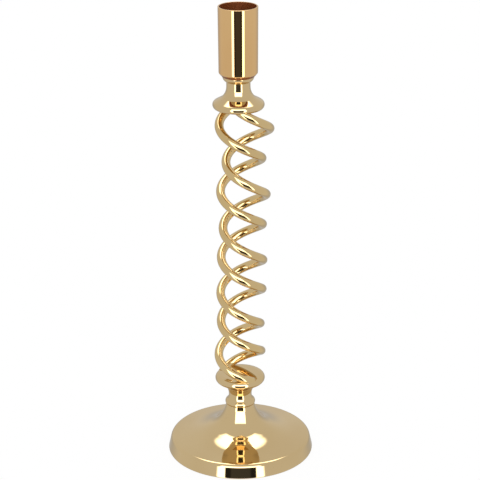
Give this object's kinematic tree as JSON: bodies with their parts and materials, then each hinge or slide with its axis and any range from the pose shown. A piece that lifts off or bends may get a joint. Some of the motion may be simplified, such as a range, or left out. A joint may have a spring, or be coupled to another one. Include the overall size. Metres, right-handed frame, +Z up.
{
  "type": "candle holder",
  "caption": "Polished brass candle holder: a plain cup for a taper candle on an open spiral stem between turned knobs, standing on a round domed foot with felt underneath.",
  "frame": {"origin": "middle of the underside of the felt pad, on the surface that the holder stands on", "axes": "+Z up along the stem to the candle cup; -Y faces the viewer, where the first rod reaches the face of the upper knob; +X to the viewer's right"},
  "size_m": [0.0956, 0.0956, 0.3],
  "materials": {
    "polished_brass": "polished and lacquered",
    "zinc_steel": "zinc plated",
    "cover_board": "grey board",
    "felt": "pressed felt"
  },
  "bodies": {
    "root": {"candle_cup": "polished_brass", "cup_screw": "zinc_steel", "cup_washer": "zinc_steel", "upper_knob": "polished_brass", "spiral_rod_a": "polished_brass", "spiral_rod_b": "polished_brass", "lower_knob": "polished_brass", "base_shell": "polished_brass", "base_stud": "zinc_steel", "base_washer": "zinc_steel", "base_lock_washer": "zinc_steel", "base_nut": "zinc_steel", "base_cover": "cover_board", "felt_pad": "felt"}
  },
  "joints": []
}
